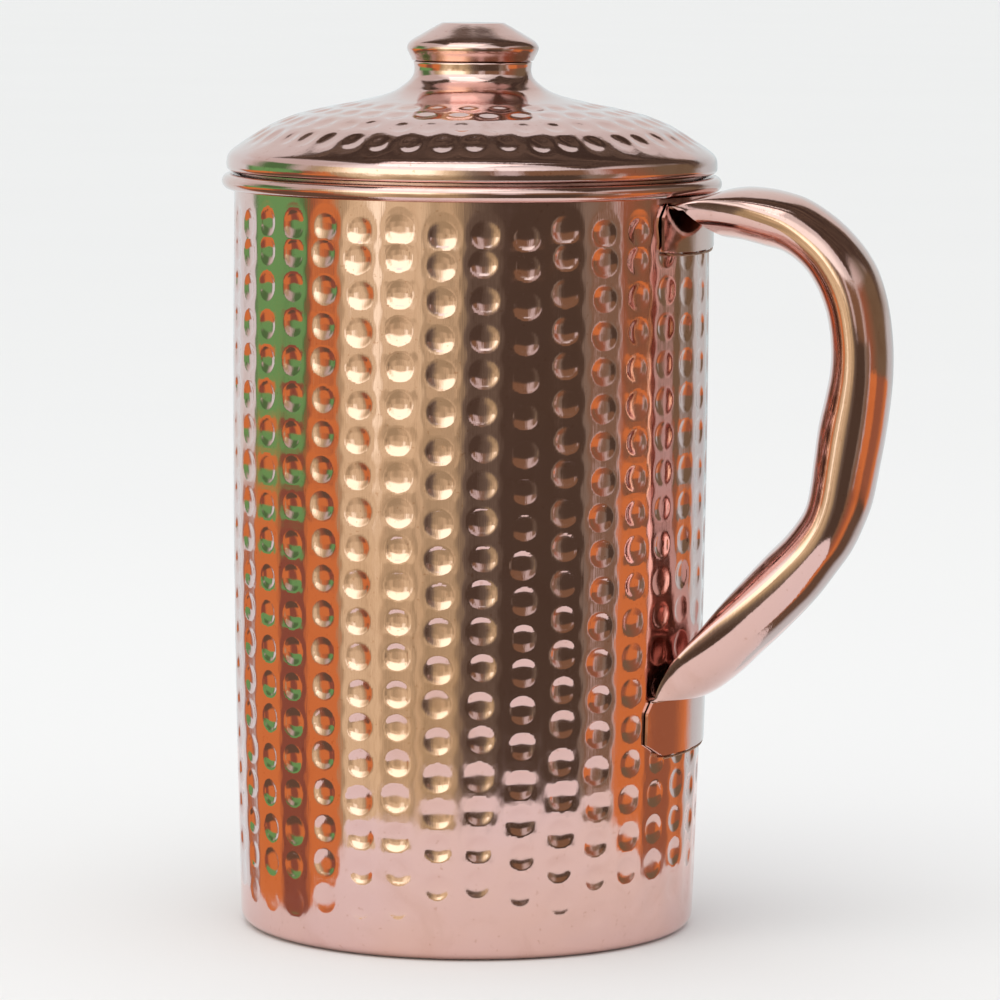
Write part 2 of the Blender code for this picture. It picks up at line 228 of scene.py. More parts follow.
# hammer marks: crisp round bowls standing in a shallow wavy flute
def pressFlute(across, up, marks, shape):
    # depth over a block of wall from one column of marks, and each point's slide to meet a bowl's rim
    order = np.argsort(marks[:, 1])
    middle = np.interp(up, marks[order, 1], marks[order, 0])
    away = across - middle
    lowEnd, highEnd = marks[:, 1].min(), marks[:, 1].max()
    along = (np.clip((up - lowEnd) / shape["lowRun"], 0.0, 1.0)
             * np.clip((highEnd - up) / shape["highRun"], 0.0, 1.0))
    flute = shape["neckDepth"] * (1.0 - (away / shape["neck"]) ** 2) * along
    bowls = np.zeros_like(up)
    slideA = np.zeros_like(up)
    slideU = np.zeros_like(up)
    for markA, markU, rim, deep, dish in marks:
        da, du = across - markA, up - markU
        oval = dish * (1.0 - (da / shape["belly"]) ** 2 - (du / shape["reach"]) ** 2)
        flute = np.maximum(flute, oval)
        d = np.hypot(da, du)
        near = np.abs(d - rim) < shape["snap"]
        pull = np.where(near, (rim - d) / np.maximum(d, 1e-9), 0.0)
        slideA += pull * da
        slideU += pull * du
        d = np.where(near, rim, d)
        bowls = np.maximum(bowls, deep * (1.0 - np.clip(d / rim, 0.0, 1.0) ** shape["round"]))
    return np.maximum(flute, 0.0) * shape["flute"] + bowls, slideA, slideU


# body
body = {
    "sheet": 0.8 * mm, "rimRadius": 58.0 * mm, "baseRadius": 55.7 * mm, "bulge": 1.1 * mm,
    "height": 184.5 * mm, "corner": 3.0 * mm, "bead": 1.92 * mm, "curlEnd": -108.0,
    "columns": 36, "perColumn": 20, "rowSpacing": 0.50 * mm,
    "firstRow": 173.6 * mm, "secondDrop": 6.7 * mm, "rows": 21, "rowPitch": 8.68 * mm, "turned": 0.10,
    "bowl": 3.38 * mm, "bowlDepth": 0.40 * mm, "fade": 20.0 * mm,
    "shape": {"neck": 3.65 * mm, "belly": 4.75 * mm, "reach": 5.7 * mm, "flute": 0.20 * mm,
              "neckDepth": 0.80, "lowRun": 4.0 * mm, "highRun": 2.0 * mm, "round": 2.8, "snap": 0.24 * mm},
    "lowest": 8.5 * mm, "lowShare": 0.20, "columnShift": 0.5 * mm, "pitchSpread": 0.009,
    "lean": 0.0012, "rowShift": 0.22 * mm, "turnShift": 0.0035,
}
beadHeight = body["height"] - body["bead"]


def wallRadius(height):
    part = np.clip(np.asarray(height) / beadHeight, 0.0, 1.0)
    return (body["baseRadius"] + (body["rimRadius"] - body["baseRadius"]) * part
            + body["bulge"] * 4.0 * part * (1.0 - part))


def bodyMarks():
    # one list for each column: across, up, bowl radius, bowl depth, share of the flute's depth
    columns = []
    turn = math.tau / body["columns"]
    for column in range(body["columns"]):
        drop = rng.normal(0.0, 1.0) * body["columnShift"]
        pitch = body["rowPitch"] * (1.0 + rng.normal(0.0, body["pitchSpread"]))
        lean = rng.normal(0.0, body["lean"])
        marks = []
        for row in range(body["rows"]):
            up = body["firstRow"] + drop + rng.normal(0.0, 1.0) * body["rowShift"]
            if row:
                up -= body["secondDrop"] + (row - 1) * pitch
            if up < body["lowest"]:
                continue
            fade = min(1.0, body["lowShare"] + (up - body["lowest"]) / body["fade"])
            angle = (column + body["turned"]) * turn + lean * (row - 10) * 0.35
            angle += rng.normal(0.0, body["turnShift"])
            marks.append((angle * body["rimRadius"], up, body["bowl"] * rng.uniform(0.93, 1.06),
                          body["bowlDepth"] * rng.uniform(0.85, 1.15) * fade,
                          rng.uniform(0.88, 1.12) * fade))
        columns.append(np.array(marks))
    return columns


def makeBody():
    columns = body["columns"] * body["perColumn"]
    sheet, corner, bead = body["sheet"], body["corner"], body["bead"]
    curl = (body["rimRadius"] - sheet + bead, beadHeight)
    wallTop = beadHeight - bead - 0.9 * mm
    outerHeights = np.linspace(corner, wallTop, int((wallTop - corner) / body["rowSpacing"]))
    innerHeights = np.linspace(corner, wallTop, int((wallTop - corner) / (1.2 * mm)))
    cornerCentre = (float(wallRadius(corner)) - corner, corner)
    ring = np.linspace(2.0 * mm, cornerCentre[0], 26)[:-1]
    inside = [(r, sheet) for r in ring] + arcPoints(cornerCentre, corner - sheet, -90.0, 0.0, 8)[:-1]
    inside += [(float(wallRadius(h)) - sheet, h) for h in innerHeights]
    over = arcPoints(curl, bead, 180.0, body["curlEnd"], 34)
    under = arcPoints(curl, bead - sheet, body["curlEnd"], 180.0, 22)
    outside = [(float(wallRadius(h)), h) for h in outerHeights[::-1]]
    foot = arcPoints(cornerCentre, corner, 0.0, -90.0, 12)[1:] + [(r, 0.0) for r in ring[::-1]]
    profile = np.array(inside + over + under + outside + foot)
    rows = len(profile)
    grid = turnGrid(profile[:, 0], profile[:, 1], columns)
    # the same marks push the outer face in and raise it on the inside
    flutes = bodyMarks()
    middle = body["rimRadius"]
    turn = np.arange(columns) * (math.tau / columns)
    half = int(body["perColumn"] * 0.62)
    for start, stop, snap in ((len(ring) + 7, len(ring) + 7 + len(innerHeights), 0.0),
                              (rows - len(foot) - len(outside), rows - len(foot), 1.0)):
        for index, marks in enumerate(flutes):
            centre = int(round((index + body["turned"]) * body["perColumn"]))
            names = np.arange(centre - half, centre + half + 1)
            across = np.repeat((names * (math.tau / columns) * middle)[None, :], stop - start, axis=0)
            up = np.repeat(profile[start:stop, 1][:, None], len(names), axis=1)
            depth, slideA, slideU = pressFlute(across, up, marks, body["shape"])
            names = names % columns
            touched = depth > 0.0
            radius = profile[start:stop, 0][:, None] - depth
            angle = (across + slideA * snap) / middle
            block = np.stack([radius * np.cos(angle), radius * np.sin(angle), up + slideU * snap], axis=-1)
            old = grid[start:stop, names]
            grid[start:stop, names] = np.where(touched[:, :, None], block, old)
    points = grid.reshape(-1, 3)
    faces = gridFaces(rows, columns)[:, ::-1]
    tops = [len(points), len(points) + 1]
    points = np.vstack([points, [[0.0, 0.0, sheet], [0.0, 0.0, 0.0]]])
    step = np.arange(columns)
    nextStep = (step + 1) % columns
    fans = [(tops[0], int(a), int(b)) for a, b in zip(step, nextStep)]
    last = (rows - 1) * columns
    fans += [(tops[1], int(last + b), int(last + a)) for a, b in zip(step, nextStep)]
    return makeMesh("hammeredBody", points.tolist(), faces.tolist() + fans, bodyCopper)


bodyCopper = copperFinish("polishedHammeredCopper", copperLook)
hammeredBody = makeBody()
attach(hammeredBody, "jug")
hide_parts("body_shell")
print("body made", len(hammeredBody.data.polygons))


# lid
lid = {
    "sheet": 0.8 * mm, "radius": 59.7 * mm, "roll": 1.25 * mm,
    "rest": 184.8 * mm, "spigot": 13.75 * mm, "columns": 576, "spacing": 0.5 * mm,
    "rings": ((52.6, 44), (45.6, 38), (38.2, 32), (31.2, 26)),
    "bowl": 2.75 * mm, "bowlDepth": 0.36 * mm, "dish": 4.6 * mm, "dishDepth": 0.14 * mm,
    "neckTop": 30.8 * mm, "neckStep": 27.45 * mm, "marksFrom": 5.0 * mm, "marksTo": 19.5 * mm,
    "turnSpread": 0.05, "ringSpread": 0.22, "lap": 0.2,
}
lidShape = (
    (14.46, 27.00), (14.27, 25.50), (14.42, 24.10), (14.95, 23.05), (15.85, 22.10), (17.05, 21.15),
    (18.40, 20.20), (20.60, 19.20), (23.70, 18.25), (28.00, 17.30), (32.70, 16.38), (37.40, 15.45),
    (41.20, 14.53), (44.20, 13.60), (46.60, 12.65), (48.70, 11.70), (50.60, 10.70), (52.40, 9.65),
    (54.20, 8.46), (55.80, 7.36), (57.20, 6.36), (58.40, 5.46), (59.16, 4.74), (59.64, 3.95),
    (59.86, 3.05), (59.93, 2.15), (59.93, 1.55),
)


def lidMarks():
    marks = []
    for ringRadius, count in lid["rings"]:
        turn = rng.uniform(0.0, math.tau)
        for index in range(count):
            angle = (turn + math.tau * (index + rng.normal(0.0, lid["turnSpread"])) / count) % math.tau
            marks.append({"angle": angle, "r": (ringRadius + rng.normal(0.0, lid["ringSpread"])) * mm,
                          "bowl": lid["bowl"] * rng.uniform(0.9, 1.08),
                          "bowlDepth": lid["bowlDepth"] * rng.uniform(0.8, 1.15),
                          "dish": lid["dish"], "dishDepth": lid["dishDepth"]})
    return marks


def makeLid():
    rest, sheet, columns = lid["rest"], lid["sheet"], lid["columns"]
    dome = smoothThrough([(r * mm, rest + h * mm) for r, h in lidShape], 8)
    roll = arcPoints((lid["radius"] - lid["roll"] + 0.24 * mm, rest + lid["roll"] + 0.3 * mm), lid["roll"],
                     0.0, -90.0, 10)[1:]
    spigot, step = lid["spigot"], rest + lid["neckStep"]
    outer = [(spigot, rest + lid["neckTop"]), (spigot, step),
             (spigot + 0.15 * mm, step - 0.23 * mm), (spigot + 0.45 * mm, step - 0.30 * mm)]
    outer = np.vstack([np.array(outer), evenly(np.vstack([dome, roll]), lid["spacing"])])
    normal = sideways(outer)
    inner = outer + normal * sheet
    inner[:, 0] = np.maximum(inner[:, 0], 0.001)
    profile = np.vstack([inner[::-1], outer])
    grid = turnGrid(profile[:, 0], profile[:, 1], columns)
    turn = np.arange(columns) * (math.tau / columns)
    depth = np.zeros((len(profile), columns))
    x = profile[:, 0][:, None] * np.cos(turn)[None, :]
    y = profile[:, 0][:, None] * np.sin(turn)[None, :]
    marked = (profile[:, 1] < rest + lid["marksTo"]) & (profile[:, 1] > rest + lid["marksFrom"])
    bowls = np.zeros_like(depth)
    for mark in lidMarks():
        dx = x - mark["r"] * math.cos(mark["angle"])
        dy = y - mark["r"] * math.sin(mark["angle"])
        d = np.hypot(dx, dy)
        hit = d < mark["dish"]
        dish = mark["dishDepth"] * np.clip(1.0 - (d / mark["dish"]) ** 2, 0.0, 1.0)
        depth = np.where(hit, np.maximum(depth, dish) + lid["lap"] * np.minimum(depth, dish), depth)
        rim = mark["bowl"]
        bowls = np.maximum(bowls, mark["bowlDepth"] * np.clip(1.0 - (d / rim) ** 2, 0.0, 1.0))
    depth = (depth + bowls) * marked[:, None]
    side = sideways(profile)
    side[:len(inner)] = normal[::-1]
    side[len(inner):] = normal
    push = side[:, None, :] * depth[:, :, None]
    radius = profile[:, 0][:, None] + push[:, :, 0]
    grid[:, :, 0] = radius * np.cos(turn)[None, :]
    grid[:, :, 1] = radius * np.sin(turn)[None, :]
    grid[:, :, 2] += push[:, :, 1]
    faces = gridFaces(len(profile), columns, wrapRows=True)[:, ::-1]
    return makeMesh("hammeredLid", grid.reshape(-1, 3).tolist(), faces.tolist(), lidCopper)


lidLook = dict(copperLook, colour=(0.775, 0.540, 0.510), warmColour=(0.785, 0.520, 0.455), rough=0.07,
               streakStretch=(240.0, 240.0, 240.0), hairStretch=(1500.0, 1500.0, 1500.0), streak=0.008)
lidCopper = copperFinish("polishedLidCopper", lidLook)
hammeredLid = makeLid()
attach(hammeredLid, "lid")
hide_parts("lid_shell")
print("lid made", len(hammeredLid.data.polygons))


# knob cap
cap = {"sheet": 0.8 * mm, "seat": 212.15 * mm, "height": 9.15 * mm, "columns": 240}
capShape = (
    (3.0, 0.0), (7.1, -0.02), (7.75, -0.14), (8.25, -0.38), (9.6, -1.12), (11.3, -2.10), (13.1, -3.14),
    (14.4, -3.93), (15.25, -4.56), (15.82, -5.24), (16.05, -5.98), (15.95, -6.65), (15.60, -7.50),
    (15.15, -8.35), (14.86, -9.00), (14.72, -9.15),
)


def makeCap():
    top = cap["seat"] + cap["height"]
    outer = evenly(smoothThrough([(r * mm, top + h * mm) for r, h in capShape], 10), 0.22 * mm)
    inner = outer + sideways(outer) * cap["sheet"]
    inner[-1] = (outer[-1][0] - cap["sheet"] * 0.85, cap["seat"])
    profile = np.vstack([outer, inner[::-1]])
    grid = turnGrid(profile[:, 0], profile[:, 1], cap["columns"])
    points = grid.reshape(-1, 3)
    count = len(points)
    points = np.vstack([points, [[0.0, 0.0, top], [0.0, 0.0, top - cap["sheet"]]]])
    faces = gridFaces(len(profile), cap["columns"])[:, ::-1].tolist()
    last = (len(profile) - 1) * cap["columns"]
    for step in range(cap["columns"]):
        after = (step + 1) % cap["columns"]
        faces.append((count, step, after))
        faces.append((count + 1, last + after, last + step))
    return makeMesh("roundKnobCap", points.tolist(), faces, capCopper)


capCopper = copperFinish("spunCapCopper", dict(lidLook, stain=0.3, rough=0.09))
roundKnobCap = makeCap()
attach(roundKnobCap, "lid")
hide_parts("knob_cap")
print("knob cap made")


# handle
handle = {
    "sheet": 0.8 * mm, "gap": 0.3 * mm, "gripHalf": 12.0 * mm, "rows": 176, "around": 80,
    "upperCrease": 179.5 * mm, "lowerCrease": 60.0 * mm, "upperTongue": 11.6 * mm, "lowerTongue": 13.6 * mm,
    "upperHalf": math.radians(19.6), "lowerHalf": math.radians(22.6), "flare": math.radians(1.9),
    "upperCut": 3.2, "lowerCut": 0.55, "settle": 5.0, "thickest": 0.52 * mm,
    "upperRun": 0.30, "lowerRun": 0.34, "level": 0.42, "crowd": 0.055, "cutShare": 0.30, "cutEdge": 0.12,
    "flareShare": 0.27, "upperRound": 0.10, "snip": 0.24, "snipStart": 0.74, "sharp": math.radians(38.0),
}
# across the handle in its own plane: outer reach and height, inner reach and height
handlePairs = (
    (59.5, 179.5, 59.7, 171.9), (61.2, 180.3, 61.4, 171.4), (63.0, 181.4, 63.2, 171.0),
    (65.4, 182.3, 65.6, 170.7), (68.2, 182.8, 68.3, 170.4), (72.1, 182.9, 70.8, 169.9),
    (77.8, 182.2, 75.2, 168.8), (83.9, 180.5, 78.9, 167.9), (89.9, 177.0, 82.1, 166.2),
    (94.7, 173.0, 85.3, 163.4), (98.9, 168.2, 87.5, 160.2), (102.0, 162.9, 89.2, 156.7),
    (104.3, 155.6, 90.7, 152.0), (105.6, 146.7, 91.6, 145.3), (105.8, 138.6, 91.4, 139.4),
    (105.3, 131.4, 90.3, 133.6), (104.3, 123.7, 88.7, 126.3), (102.9, 115.7, 87.7, 118.3),
    (101.2, 107.2, 86.8, 110.8), (98.9, 100.9, 85.7, 106.3), (96.2, 95.3, 83.6, 102.7),
    (92.6, 90.1, 80.8, 99.1), (88.2, 84.2, 76.4, 94.6), (83.5, 79.0, 71.7, 89.4),
    (78.5, 73.9, 67.1, 84.1), (74.4, 70.0, 63.9, 79.6), (70.6, 66.2, 61.7, 75.4),
    (66.8, 62.9, 60.4, 71.2), (63.4, 60.4, 59.5, 66.0), (59.4, 58.3, 58.7, 60.4),
)


def ease(value):
    value = min(max(value, 0.0), 1.0)
    return value * value * (3.0 - 2.0 * value)


def alongPairs(place):
    index = min(max(int(math.floor(place)), 0), len(handlePairs) - 2)
    t = place - index
    before = handlePairs[max(index - 1, 0)]
    start, end = handlePairs[index], handlePairs[index + 1]
    after = handlePairs[min(index + 2, len(handlePairs) - 1)]
    return [between(before[axis], start[axis], end[axis], after[axis], t) * mm for axis in range(4)]


def handleSection(place, angles):
    outerReach, outerHeight, innerReach, innerHeight = alongPairs(place)
    part = place / (len(handlePairs) - 1)
    top = np.array([outerReach, 0.0, outerHeight])
    low = np.array([innerReach, 0.0, innerHeight])
    across = (top - low) / np.linalg.norm(top - low)
    depth = np.linalg.norm(top - low) - handle["sheet"]
    nearUpper = 1.0 - ease(part / handle["upperRun"])
    nearLower = 1.0 - ease((1.0 - part) / handle["lowerRun"])
    upperWidth = body["rimRadius"] * math.sin(handle["upperHalf"]) - handle["gripHalf"]
    lowerWidth = body["rimRadius"] * math.sin(handle["lowerHalf"]) - handle["gripHalf"]
    half = handle["gripHalf"] + upperWidth * nearUpper ** 1.5 + lowerWidth * nearLower ** 1.5
    share = 0.5 - handle["level"] * nearUpper + handle["level"] * nearLower
    widest = top - across * (handle["sheet"] * 0.5 + depth * share)
    rise = np.cos(angles)
    reach = np.where(rise > 0.0, depth * share, depth * (1.0 - share))
    out = widest[None, :] + across[None, :] * (rise * reach)[:, None]
    out[:, 1] += half * np.sin(angles)
    return out


def handleGrid():
    angles = math.tau * np.arange(handle["around"]) / handle["around"]
    last = float(len(handlePairs) - 1)
    lift = handle["gap"] + handle["sheet"] * 0.5
    # rows crowd towards both ends, where the folds are
    steps = np.linspace(0.0, 1.0, handle["rows"])
    steps = steps - handle["crowd"] * np.sin(steps * math.tau)
    grid = []
    for step in steps:
        place = last * step
        line = handleSection(place, angles)
        for endPlace, side, cut, crease in ((0.0, 1.0, handle["upperCut"], handle["upperCrease"]),
                                            (last, -1.0, handle["lowerCut"], handle["lowerCrease"])):
            away = abs(place - endPlace)
            if away >= handle["settle"]:
                continue
            level = crease - handle["sheet"] * 0.5 * (side + 1.0) * 0.5
            radius = float(wallRadius(level)) + lift
            for column, angle in enumerate(angles):
                beyond = max(-math.cos(angle) * side, 0.0)
                depth = handle["cutShare"] + (1.0 - handle["cutShare"]) * beyond
                start = cut * depth * ease(beyond / handle["cutEdge"]) if beyond > 0.001 else 0.0
                moved = start + (handle["settle"] - start) * away / handle["settle"]
                movedPlace = moved if endPlace == 0.0 else last - moved
                point = handleSection(movedPlace, angles[column:column + 1])[0]
                bow = math.sqrt(radius * radius - point[1] * point[1]) - radius
                point[0] += bow * (1.0 - ease(away / handle["settle"]))
                if away < 0.0001 and beyond <= 0.001:
                    point[0] = math.sqrt(radius * radius - point[1] * point[1])
                    point[2] = level
                line[column] = point
        grid.append(line)
    return grid


def wallPoint(angle, height, lift):
    radius = float(wallRadius(height)) + lift
    return (radius * math.cos(angle), radius * math.sin(angle), height)


def makeHandle():
    grid = handleGrid()
    around, quarter = handle["around"], handle["around"] // 4
    build = bmesh.new()
    verts = [[build.verts.new(point) for point in line] for line in grid]
    for row in range(len(verts) - 1):
        for column in range(around):
            after = (column + 1) % around
            build.faces.new([verts[row][column], verts[row][after],
                             verts[row + 1][after], verts[row + 1][column]])
    lift = handle["gap"] + handle["sheet"] * 0.5
    shares = (0.03, 0.07, 0.12, 0.19, 0.27, 0.36, 0.46, 0.56, 0.66, 0.76, 0.86, 0.94, 1.0)
    tongues = []
    for endRow, names, half, crease, depth in (
            (0, [c % around for c in range(-quarter, quarter + 1)], handle["upperHalf"],
             handle["upperCrease"] - handle["sheet"] * 0.5, handle["upperTongue"]),
            (len(verts) - 1, list(range(quarter, 3 * quarter + 1)), handle["lowerHalf"],
             handle["lowerCrease"], handle["lowerTongue"])):
        previous = [verts[endRow][column] for column in names]
        sines = [math.asin(v.co.y / math.hypot(v.co.x, v.co.y)) / half for v in previous]
        for share in shares:
            current = []
            for sine in sines:
                flare = min(share / handle["flareShare"], 1.0) * handle["flare"]
                corner = max(abs(sine) - handle["snipStart"], 0.0) / (1.0 - handle["snipStart"])
                snip = handle["upperRound"] * abs(sine) ** 4 if endRow == 0 else handle["snip"] * corner
                drop = depth * (1.0 - snip) * share
                current.append(build.verts.new(wallPoint((half + flare) * sine, crease - drop, lift)))
            for index in range(len(current) - 1):
                tongues.append(build.faces.new([previous[index], previous[index + 1],
                                                current[index + 1], current[index]]))
            previous = current
    for face in tongues:
        face.material_index = 2
    bmesh.ops.recalc_face_normals(build, faces=build.faces)
    mesh = bpy.data.meshes.new("foldedHandle")
    build.to_mesh(mesh)
    build.free()
    mesh.materials.append(handleCopper)
    mesh.materials.append(insideCopper)
    mesh.materials.append(handleCopper)
    piece = bpy.data.objects.new("foldedHandle", mesh)
    pieces.objects.link(piece)
    shell = piece.modifiers.new("sheet", "SOLIDIFY")
    shell.thickness = handle["sheet"]
    shell.offset = 0.0
    shell.use_even_offset = True
    shell.use_quality_normals = True
    shell.material_offset = 1
    graph = bpy.context.evaluated_depsgraph_get()
    solid = bpy.data.meshes.new_from_object(piece.evaluated_get(graph))
    piece.modifiers.clear()
    piece.data = solid
    # both faces of the sheet stay close to its middle, also in the corners of the folds
    count = len(mesh.vertices)
    place = np.empty(len(solid.vertices) * 3)
    solid.vertices.foreach_get("co", place)
    place = place.reshape(-1, 3)
    middle = (place[:count] + place[count:2 * count]) * 0.5
    half = (place[:count] - place[count:2 * count]) * 0.5
    size = np.linalg.norm(half, axis=1)[:, None]
    half *= np.minimum(size, handle["thickest"]) / np.maximum(size, 1e-9)
    place[:count] = middle + half
    place[count:2 * count] = middle - half
    solid.vertices.foreach_set("co", place.ravel())
    tidy = bmesh.new()
    tidy.from_mesh(solid)
    bmesh.ops.recalc_face_normals(tidy, faces=tidy.faces)
    tidy.to_mesh(solid)
    tidy.free()
    solid.shade_smooth()
    solid.set_sharp_from_angle(angle=handle["sharp"])
    return piece


def dullMetal(name, look):
    # cast or oxidised metal: mottled colour and a fine grain
    material, shade, shader = newMaterial(name)
    spot = shade.node("ShaderNodeTexCoord", output=3)
    grain = shade.noise(spot, look["grain"], 5.0, 0.6, 0.5)
    blot = shade.noise(spot, look["grain"] * 0.22, 3.0, 0.5).ramp01(0.4, 0.68)
    base = shade.mix(grain.ramp01(0.35, 0.7), look["colour"], look["second"])
    base = shade.mix(blot * 0.6, base, look["third"])
    plug(shade.tree, shader.inputs["Base Color"], base)
    plug(shade.tree, shader.inputs["Roughness"], blot * 0.16 + grain * 0.12 + look["rough"])
    shader.inputs["Metallic"].default_value = look["metallic"]
    bump = shade.node("ShaderNodeBump", None, {"Height": grain * look["bump"], "Distance": 0.001})
    plug(shade.tree, shader.inputs["Normal"], bump)
    return material


insideCopper = dullMetal("dullInsideCopper", {
    "colour": (0.62, 0.34, 0.24), "second": (0.50, 0.25, 0.17), "third": (0.36, 0.17, 0.11),
    "grain": 420.0, "rough": 0.34, "bump": 0.12, "metallic": 0.45})
handleCopper = copperFinish("polishedHandleCopper", dict(
    copperLook, colour=(0.785, 0.525, 0.490), warmColour=(0.79, 0.505, 0.42), rough=0.07, stain=0.3,
    streakStretch=(160.0, 160.0, 160.0), hairStretch=(1800.0, 1800.0, 260.0), swellScale=70.0, swell=0.12))
foldedHandle = makeHandle()
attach(foldedHandle, "jug")
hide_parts("handle")
print("handle made", len(foldedHandle.data.polygons))


# lid collar: a spun sleeve with round edges, its foot drawn in a little
collar = {
    "radius": 56.6 * mm, "sheet": 0.8 * mm, "foot": 173.5 * mm, "top": 190.1 * mm,
    "edge": 0.25 * mm, "drawIn": 0.22 * mm, "drawn": 3.4 * mm, "columns": 360,
}


def makeCollar():
    outer, edge, foot, top = collar["radius"], collar["edge"], collar["foot"], collar["top"]
    inner = outer - collar["sheet"]
    rising = np.linspace(foot + edge, top - edge, 34)[1:-1]
    profile = [(inner, height) for height in rising]
    profile += arcPoints((inner + edge, top - edge), edge, 180.0, 90.0, 5)
    profile += arcPoints((outer - edge, top - edge), edge, 90.0, 0.0, 5)
    profile += [(outer, height) for height in rising[::-1]]
    profile += arcPoints((outer - edge, foot + edge), edge, 0.0, -90.0, 5)
    profile += arcPoints((inner + edge, foot + edge), edge, -90.0, -180.0, 5)
    profile = np.array(profile)
    shares = [ease(1.0 - (height - foot) / collar["drawn"]) for height in profile[:, 1]]
    profile[:, 0] -= collar["drawIn"] * np.array(shares)
    grid = turnGrid(profile[:, 0], profile[:, 1], collar["columns"])
    faces = gridFaces(len(profile), collar["columns"], wrapRows=True)[:, ::-1]
    return makeMesh("spunLidCollar", grid.reshape(-1, 3).tolist(), faces.tolist(), collarCopper)


collarCopper = copperFinish("satinCollarCopper", dict(copperLook, rough=0.22, stain=0.45, cloud=0.9))
spunLidCollar = makeCollar()
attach(spunLidCollar, "lid")
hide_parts("lid_collar")
print("lid collar made")


# braze and solder keep their own solids
brazeMetal = dullMetal("dullBraze", {
    "colour": (0.60, 0.36, 0.22), "second": (0.46, 0.25, 0.15), "third": (0.33, 0.17, 0.10),
    "grain": 900.0, "rough": 0.30, "bump": 0.25, "metallic": 1.0})
solderMetal = dullMetal("dullSolder", {
    "colour": (0.60, 0.54, 0.49), "second": (0.47, 0.42, 0.38), "third": (0.38, 0.32, 0.28),
    "grain": 700.0, "rough": 0.34, "bump": 0.3, "metallic": 1.0})
for node, metal in (("upper_braze", brazeMetal), ("lower_braze", brazeMetal), ("cap_solder", solderMetal),
                    ("collar_solder", solderMetal)):
    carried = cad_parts[node]
    carried.data.materials.clear()
    carried.data.materials.append(metal)
    for slot in carried.material_slots:
        slot.material = metal
print("small metals done")


# floor, light and camera
view = {
    "azimuth": 18.0, "distance": 1.3108, "height": 0.2503, "tilt": 0.1109, "pan": 0.0057,
    "roll": 0.0079, "focal": 5.3611,
}


# how far the mirrored part of the floor reaches, in metres, by degrees from the camera's side
floorReach = (
    (-180, 0.3), (-146, 0.28), (-138, 0.1), (-120, 0.088), (-62, 0.085), (-54, 0.17), (-44, 0.205),
    (-30, 0.2), (-10, 0.215), (20, 0.235), (55, 0.225), (72, 0.19), (80, 0.13), (125, 0.13), (140, 0.24),
    (180, 0.3),
)


def makeFloor():
    material, shade, shader = newMaterial("paleFloor")
    spot = shade.node("ShaderNodeTexCoord", output=3)
    base = shade.mix(shade.noise(spot, 3.0), (0.86, 0.86, 0.865), (0.845, 0.845, 0.85))
    plug(shade.tree, shader.inputs["Base Color"], base)
    shader.inputs["Roughness"].default_value = 0.8
    shader.inputs["Specular IOR Level"].default_value = 0.1
    # the near floor is mirrored in the copper; beyond its edge the mirrored room begins
    rims = []
    for reach in (floorReach, ((-180, 60.0), (180, 60.0))):
        rim = []
        for step in range(180):
            degrees = step * 2.0 - 180.0
            size = np.interp(degrees, [pair[0] for pair in reach], [pair[1] for pair in reach])
            angle = math.radians(view["azimuth"] + degrees)
            rim.append((math.sin(angle) * size, -math.cos(angle) * size, 0.0))
        rims.append(rim)
    for name, mirrored in (("floorNear", True), ("floorWide", False)):
        build = bmesh.new()
        inner = [build.verts.new(point) for point in rims[0]]
        if mirrored:
            build.faces.new(inner)
        else:
            outer = [build.verts.new(point) for point in rims[1]]
            for step in range(180):
                after = (step + 1) % 180
                build.faces.new((inner[step], outer[step], outer[after], inner[after]))
        bmesh.ops.recalc_face_normals(build, faces=build.faces)
        if build.faces[:][0].normal.z < 0.0:
            bmesh.ops.reverse_faces(build, faces=build.faces)
        mesh = bpy.data.meshes.new(name)
        build.to_mesh(mesh)
        build.free()
        mesh.materials.append(material)
        floor = bpy.data.objects.new(name, mesh)
        floor.location.z = -0.0002
        floor.visible_glossy = mirrored
        scene.collection.objects.link(floor)


room = {
    "paleEdge": (0.78, 0.88, 0.90), "paleRight": (0.60, 0.70, 0.72), "gold": (0.90, 0.84, 0.53),
    "goldLow": (0.74, 0.66, 0.40), "goldDeep": (0.46, 0.41, 0.24), "bright": (1.9, 2.0, 1.55),
    "glint": (1.35, 1.40, 1.05), "brown": (0.24, 0.155, 0.09), "dark": (0.09, 0.07, 0.05),
    "darkGrey": (0.18, 0.16, 0.12), "greyBrown": (0.27, 0.25, 0.20), "wood": (0.74, 0.27, 0.085),
    "woodDark": (0.36, 0.15, 0.08), "maroon": (0.30, 0.115, 0.075), "leaf": (0.18, 0.48, 0.17),
    "leafDark": (0.10, 0.24, 0.09), "shade": (0.15, 0.105, 0.07), "pale": (0.66, 0.64, 0.62),
    "olive": (0.20, 0.16, 0.10), "soft": (0.80, 0.85, 0.85), "roof": (0.06, 0.045, 0.035),
    "beam": (0.24, 0.19, 0.14), "strip": (1.5, 1.6, 1.6), "window": (1.30, 1.42, 1.40),
}
